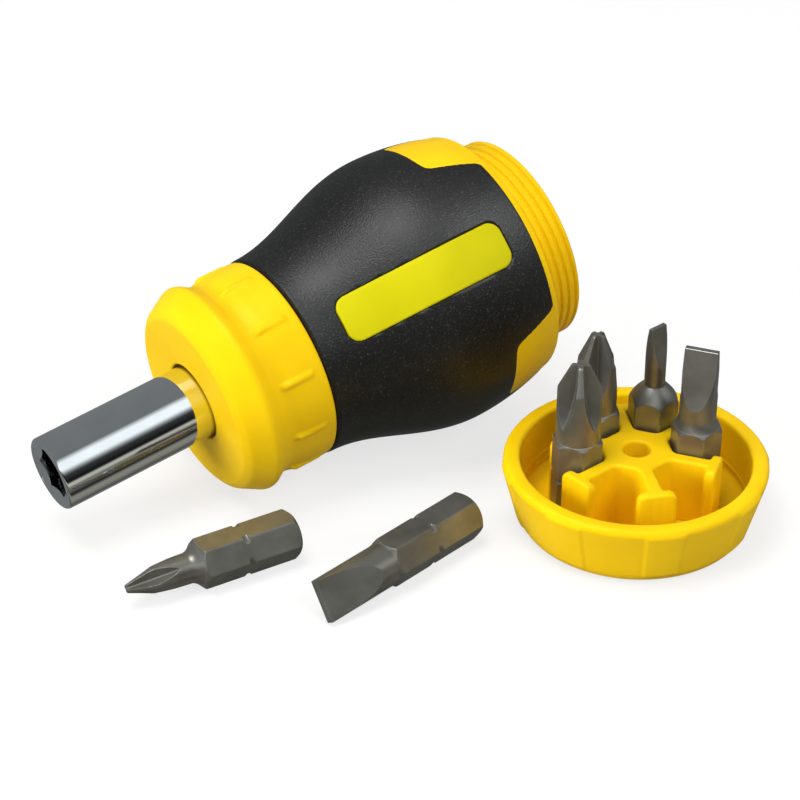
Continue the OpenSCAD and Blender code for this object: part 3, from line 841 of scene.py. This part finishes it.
def rack_top(y, x, inside):
    """Every top edge is rounded, and each T end also has rounded shoulders."""
    u, v = arm_frame(y, x)
    past = np.clip((v - HEAD_HALF + SHOULDER) / SHOULDER, 0, 1)
    past = past * smooth((u - ARM_END + 0.9) / 0.5)
    return RACK_TOP - rolled(inside, 0.5, 0.45) - 0.9 * SHOULDER * (1 - np.sqrt(1 - past * past))


span = np.linspace(-HEAD_END - 1, HEAD_END + 1, 172)
form = Form()
sheet(form, lambda y, x, z: cap_axes.flat(x, y, z), rack_inside, span, span,
      rack_top, lambda y, x: RACK_LOW, False)
form.object("rack_insert", "rack", "bit_rack", 40)

# ---------------------------------------------------------------- bits

HEX_R = HEX_AF / 2 / math.cos(math.radians(30))
REAR_CUT, REAR_SLOPE = 0.78, 1.05        # chamfer at the hexagon's rear end
NOTCH_AT, NOTCH_DEPTH, NOTCH_HALF, NOTCH_SLOPE = 0.54, 0.34, 0.28, 1.3
WORN_CORNER = 0.06                       # taken off the hexagon's long corners


def hex_shank(form, axes, height, end):
    """Hexagonal shank: chamfered rear, notched corners half way. end(height) is the round
    surface that cuts its front."""
    middle = NOTCH_AT * height
    rows = np.unique(np.round(np.concatenate([
        np.linspace(0, 1.2, 13), [2, 4], np.linspace(middle - 1, middle + 1, 21),
        np.linspace(height - 3.4, height, 36)]), 3))
    rear = HEX_R - REAR_CUT + REAR_SLOPE * rows
    beside = np.maximum(np.abs(rows - middle) - NOTCH_HALF, 0)
    notch = HEX_R - NOTCH_DEPTH + NOTCH_SLOPE * beside
    limit = np.minimum(np.minimum(rear, notch), np.minimum(end(rows), HEX_R - WORN_CORNER))
    profile = np.concatenate([[[0, 0]], np.stack([limit, rows], 1), [[0, height]]])
    lathe(form, axes, profile, 240, lambda angle, r, z: np.minimum(hexagon(angle, HEX_AF), r))


FLUTE_HALF = math.radians(44)            # half the angle between two wings' sides
WEB, WEB_GROWTH = 0.34, 0.05             # the core between the flutes, at the tip and behind
FLUTE_FLOOR, FAR = 0.12, 99


def cross_bit(node, axes, length, hex_len, neck_r, wing_r, cone_len, tip_r, flute_len, turn):
    """Cross bit: a round neck past the hexagon narrows to the wings' radius, which a cone
    brings down to the tip."""

    def chamfer(z):
        return HEX_R + 0.05 - 1.15 * (z - hex_len + 0.62)

    form = Form()
    hex_shank(form, axes, hex_len, chamfer)
    start, rim = hex_len - 1.5, 0.14
    rows = np.concatenate([
        [start], np.linspace(hex_len - 0.4, hex_len + 1.6, 17),
        np.linspace(hex_len + 1.75, length - rim, 110),
        length - rim + rim * np.sin(np.radians(np.linspace(18, 90, 5)))])
    t = length - rows
    fillet = max(0, chamfer(hex_len) - neck_r) * np.clip(1 - (rows - hex_len) / 1.5, 0, 1) ** 2
    taper = neck_r + (wing_r - neck_r) * np.clip(
        (rows - hex_len) / (length - cone_len - hex_len), 0, 1)
    cone = tip_r + (wing_r - tip_r) * t / cone_len
    nose = tip_r - rim + np.sqrt(np.clip(rim ** 2 - (rim - np.clip(t, 0, rim)) ** 2, 0, 1))
    radius = np.where(t < rim, nose, soft_min(cone, taper + fillet, 0.004))
    profile = np.concatenate([[[0, start]], np.stack([radius, rows], 1), [[0, length]]])

    def shape(angle, r, z):
        """Four V flutes at the diagonals, deepest at the tip, that run out up the shank."""
        depth = length - z
        run_out = 1.02 * wing_r * np.clip(depth / flute_len, 0, 1.2) ** 3
        apex = WEB * tip_r + WEB_GROWTH * depth + run_out
        off = FLUTE_HALF - np.radians(np.abs((angle + 90) % 90 - 45))
        edge = apex * math.sin(FLUTE_HALF) / np.sin(np.maximum(off, 0.01))
        edge = np.where(off > 0.01, np.maximum(edge, apex + FLUTE_FLOOR), FAR)
        return np.where(depth > flute_len * 1.1, r + 0 * angle, soft_min(r, edge, 0.0008))

    lathe(form, axes.turned(turn), profile, 360, shape)
    form.object(node + "_form", node, node, 20)


LEAST_CORNER = 0.15                      # radians from a flat's middle to its corner
EDGE_H, EDGE_CUT = 0.05, 0.07            # chamfer round the blade's end


def flat_bit(node, axes, length, dome_from, dome_len, dome_r, dome_bow, body_r, fillet_len,
             blade_w, blade_t, blade_len, blade_turn):
    """Slotted bit: the hexagon ends in a dome that falls to dome_r, a fillet leads on to the
    round body, and two flats thin it to the blade."""

    def dome(z):
        rise = np.clip((z - dome_from) / dome_len, 0, 1.02)
        return HEX_R + 0.02 - (HEX_R - dome_r) * rise ** dome_bow

    form = Form()
    neck = dome_from + dome_len
    hex_shank(form, axes, neck, dome)
    rows = np.unique(np.round(np.concatenate([
        [dome_from], np.linspace(neck - 0.5, neck + fillet_len, 24),
        np.linspace(neck + fillet_len + 0.15, length - 0.1, 90), [length - EDGE_H, length]]), 3))
    depth = length - rows
    radius = body_r + (dome_r - 0.03 - body_r) * np.clip(1 - (rows - neck) / fillet_len, 0, 1) ** 2
    # the flats are a little hollow, and the blade widens to the body's full width behind
    run = np.clip(depth / blade_len, 0, 3)
    half_t = blade_t / 2 + (body_r - blade_t / 2) * (0.86 * run + 0.14 * run ** 4)
    half_w = blade_w / 2 + 4 * smooth((run - 0.75) / 0.6) * (body_r - blade_w / 2 + 0.3)
    cut = np.where(depth < EDGE_H, EDGE_CUT, 0.0)
    angles, radii = [], []
    for r, t, w in zip(radius, half_t - cut, half_w - cut):
        # a quarter of the section: the flat up to its corner, then the edge; mirrored below
        corner = max(LEAST_CORNER, math.atan2(min(w, math.sqrt(max(r * r - t * t, 0))), t))
        q = np.concatenate([np.linspace(0, corner, 16), np.linspace(corner, math.pi / 2, 16)[1:]])
        rho = np.minimum(r, np.minimum(
            t / np.maximum(np.cos(q), 1e-6), w / np.maximum(np.sin(q), 1e-6)))
        angles.append(np.concatenate(
            [q, math.pi - q[-2::-1], math.pi + q[1:], 2 * math.pi - q[-2:0:-1]]))
        radii.append(np.concatenate([rho, rho[-2::-1], rho[1:], rho[-2:0:-1]]))
    angle = np.degrees(np.array(angles)) + blade_turn
    index = form.put(axes.at(angle, np.array(radii), rows[:, None]))
    form.quads(index)
    ends = form.put(axes.at(0.0, np.zeros(2), np.array([dome_from, length])))
    form.fan(index[0], int(ends[0]))
    form.fan(index[-1], int(ends[1]))
    form.object(node + "_form", node, node, 24)


def standing(name):
    """Axes of a bit that stands in the cap, from its rear end; zero is away from the cap's
    middle."""
    tip = np.array(MOUNTS[name]["pos_m"], float)
    rear = (tip[0], tip[1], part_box(name.replace("_tip", "_bit"))[0].z)
    return Axes(rear, tip * (1, 1, 0), (0, 0, 1))


def lying(name, length):
    """Axes of a bit that lies on the floor, from its rear end; zero is downwards."""
    tip, axis = np.array(MOUNTS[name]["pos_m"], float), np.array(MOUNTS[name]["axis"], float)
    return Axes(tip - axis * length * MM, (0, 0, -1), axis)


cross_bit("phillips_3_bit", standing("phillips_3_tip"), length=24.6, hex_len=12.9,
          neck_r=3.1, wing_r=3.08, cone_len=3.8, tip_r=1.22, flute_len=10.8, turn=-13)
cross_bit("phillips_2_bit", standing("phillips_2_tip"), length=24.5, hex_len=12.6,
          neck_r=3.02, wing_r=3.02, cone_len=4.5, tip_r=1.0, flute_len=10.8, turn=6)
SMALL_CROSS_LEN, WIDE_FLAT_LEN = 25.4, 28.5
cross_bit("phillips_1_bit", lying("phillips_1_tip", SMALL_CROSS_LEN),
          length=SMALL_CROSS_LEN, hex_len=14.9,
          neck_r=2.2, wing_r=2.05, cone_len=3.9, tip_r=0.66, flute_len=8.4, turn=0)
flat_bit("medium_slotted_bit", standing("medium_slotted_tip"), length=25.05,
         dome_from=12.1, dome_len=0.85, dome_r=3.15, dome_bow=1.3, body_r=2.6, fillet_len=1.8,
         blade_w=4.65, blade_t=0.9, blade_len=8.7, blade_turn=60)
flat_bit("small_slotted_bit", standing("small_slotted_tip"), length=24.8,
         dome_from=12.3, dome_len=3.2, dome_r=1.6, dome_bow=1.7, body_r=1.48, fillet_len=0.5,
         blade_w=2.75, blade_t=0.6, blade_len=6.4, blade_turn=60)
flat_bit("wide_slotted_bit", lying("wide_slotted_tip", WIDE_FLAT_LEN), length=WIDE_FLAT_LEN,
         dome_from=16.0, dome_len=0.6, dome_r=3.16, dome_bow=1.3, body_r=3.1, fillet_len=0.5,
         blade_w=6.1, blade_t=1.1, blade_len=8.9, blade_turn=-60)

# ---------------------------------------------------------------- floor, lights and camera

centre = np.array((cad_box[0] + cad_box[1]) / 2)


def direction(azimuth, elevation):
    """Towards a viewer or a lamp. Azimuth 0 is the -Y side and 90 is the +X side."""
    a, e = math.radians(azimuth), math.radians(elevation)
    return np.array((math.sin(a) * math.cos(e), -math.cos(a) * math.cos(e), math.sin(e)))


def area_light(name, azimuth, elevation, distance, width, height, power, glossy=True):
    """A softbox that faces the object. Its width runs along the handle when it hangs above."""
    data = bpy.data.lights.new(name, "AREA")
    data.shape, data.size, data.size_y, data.energy = "RECTANGLE", width, height, power
    lamp = bpy.data.objects.new(name, data)
    bpy.context.scene.collection.objects.link(lamp)
    toward = Vector(direction(azimuth, elevation))
    along = Vector(handle.z)
    across = toward.cross(along).normalized()
    lamp.matrix_world = Matrix((across.cross(toward), across, toward)).transposed().to_4x4()
    lamp.location = Vector(centre) + toward * distance
    lamp.visible_glossy = glossy
    return lamp


def link_light(lamp, piece, state):
    """Includes a piece in, or excludes it from, what a lamp lights."""
    group = bpy.data.collections.new(lamp.name + "_" + state.lower())
    group.objects.link(bpy.data.objects[piece])
    group.collection_objects[0].light_linking.link_state = state
    lamp.light_linking.receiver_collection = group


area_light("front_softbox", azimuth=194.5, elevation=41, distance=0.6,
           width=0.4, height=0.3, power=1.5, glossy=False)
area_light("tip_side_fill", azimuth=82, elevation=8, distance=0.7,
           width=0.5, height=0.4, power=5.8, glossy=False)
overhead = area_light("overhead_softbox", azimuth=75, elevation=77, distance=0.6,
                      width=0.3, height=0.31, power=2.35)
# the polished holder mirrors the painted studio below instead of the overhead softbox
link_light(overhead, "chrome_holder", "EXCLUDE")
rear_softbox = area_light("rear_softbox", azimuth=239, elevation=50, distance=0.6,
                          width=0.26, height=0.22, power=1.15)
link_light(rear_softbox, "rubber_grip", "INCLUDE")

world = bpy.data.worlds.new("studio")
bpy.context.scene.world = world
world.use_nodes = True
world.node_tree.nodes.clear()
sky = Nodes(world.node_tree)
sky_direction = sky.node("ShaderNodeTexCoord").outputs["Generated"]


def share(axis):
    """How much of the view direction runs along an axis."""
    dot = sky.node("ShaderNodeVectorMath", "DOT_PRODUCT", Vector=sky_direction)
    dot.inputs[1].default_value = axis
    return dot.outputs["Value"]


# What polished surfaces mirror: long strips of light parallel to the handle, as pairs of
# degrees and brightness. Degrees run round the handle's axis from straight up.
round_axis = sky.node("ShaderNodeMath", "ARCTAN2")
sky.tree.links.new(share(handle.y), round_axis.inputs[0])
sky.tree.links.new(share(handle.x), round_axis.inputs[1])
turn_share = sky.node("ShaderNodeMapRange", Value=round_axis.outputs[0],
                      From_Min=-math.pi, From_Max=math.pi)
STRIPS = (
    (-180, 0.13), (-168, 0.075), (-156, 0.19), (-90, 0.20), (0, 0.19), (22, 0.18), (36, 1.1),
    (56, 1.1), (68, 0.24), (75, 0.04), (94, 0.006), (98, 0.05), (103, 0.5), (108, 0.5),
    (114, 0.2), (129, 0.14), (134, 0.03), (141, 0.025), (152, 0.25), (166, 0.24), (180, 0.13),
)
cool, warm = np.array((0.93, 1.0, 1.01)), np.array((1.0, 1.0, 0.84))
mirror = sky.ramp(turn_share.outputs["Result"], *(
    (0.5 + a / 360, tuple(level * (cool if -160 < a < 100 else warm))) for a, level in STRIPS))
mirror_sky = sky.node("ShaderNodeBackground", Color=mirror)
soft_sky = sky.node("ShaderNodeBackground", Color=(0.96, 0.98, 1, 1), Strength=0.4)
rays = sky.node("ShaderNodeLightPath")
either = sky.mixed(rays.outputs["Is Glossy Ray"], soft_sky, mirror_sky)
# the camera itself sees a plain white page behind the floor
page = sky.node("ShaderNodeBackground", Color=(1, 1, 1, 1))
shown = sky.mixed(rays.outputs["Is Camera Ray"], either, page)
world_out = sky.node("ShaderNodeOutputWorld")
sky.tree.links.new(shown.outputs[0], world_out.inputs["Surface"])

# a flat pale floor, just under the object's lowest point
FLOOR_HALF, FLOOR_CELLS, FLOOR_GAP = 2.5, 24, 0.00002
work = bmesh.new()
bmesh.ops.create_grid(work, x_segments=FLOOR_CELLS, y_segments=FLOOR_CELLS, size=FLOOR_HALF)
floor_mesh = bpy.data.meshes.new("floor")
work.to_mesh(floor_mesh)
work.free()
floor = bpy.data.objects.new("floor", floor_mesh)
floor.location = (centre[0], centre[1], cad_box[0].z - FLOOR_GAP)
bpy.context.scene.collection.objects.link(floor)
PAGE_SHARE = 0.72      # how much of the floor the camera sees as plain white
paper = Shader("paper")
paper.set(Roughness=0.9, IOR=1.3)
paper.link(paper.ramp(paper.noise(30, 3), (0.3, (0.86, 0.86, 0.855)), (0.7, (0.88, 0.88, 0.875))),
           "Base Color")
page_white = paper.node("ShaderNodeEmission", Color=(1, 1, 1, 1), Strength=1.0)
seen = paper.mixed(PAGE_SHARE, paper.bsdf, page_white)
# bounced light comes off a greyer sheet, and mirrors see the painted studio through it
bounce = paper.node("ShaderNodeBsdfDiffuse", Color=(0.45, 0.45, 0.44, 1))
clear = paper.node("ShaderNodeBsdfTransparent")
path = paper.node("ShaderNodeLightPath")
unseen = paper.mixed(path.outputs["Is Glossy Ray"], bounce, clear)
chosen = paper.mixed(path.outputs["Is Camera Ray"], unseen, seen)
output = next(n for n in paper.tree.nodes if n.type == "OUTPUT_MATERIAL")
paper.tree.links.new(chosen.outputs[0], output.inputs["Surface"])
floor_mesh.materials.append(paper.material)

CAMERA_AZIMUTH, CAMERA_ELEVATION, CAMERA_DISTANCE = 145.91, 32.78, 0.3657
LENS, SENSOR = 119.27, 36
AIM_RIGHT, AIM_UP = 0.0007, -0.0027      # from the box's centre to the picture's centre
camera_data = bpy.data.cameras.new("camera")
camera_data.lens, camera_data.sensor_width = LENS, SENSOR
camera_data.clip_start, camera_data.clip_end = 0.01, 20
camera = bpy.data.objects.new("camera", camera_data)
bpy.context.scene.collection.objects.link(camera)
back = direction(CAMERA_AZIMUTH, CAMERA_ELEVATION)
right = unit(np.cross((0, 0, 1), back))
up = np.cross(back, right)
aim = centre + right * AIM_RIGHT + up * AIM_UP
camera.location = aim + back * CAMERA_DISTANCE
camera.rotation_mode = "QUATERNION"
camera.rotation_quaternion = Vector(back).to_track_quat("Z", "Y")
bpy.context.scene.camera = camera
bpy.context.scene.view_settings.view_transform = "Standard"
bpy.context.scene.view_settings.look = "None"
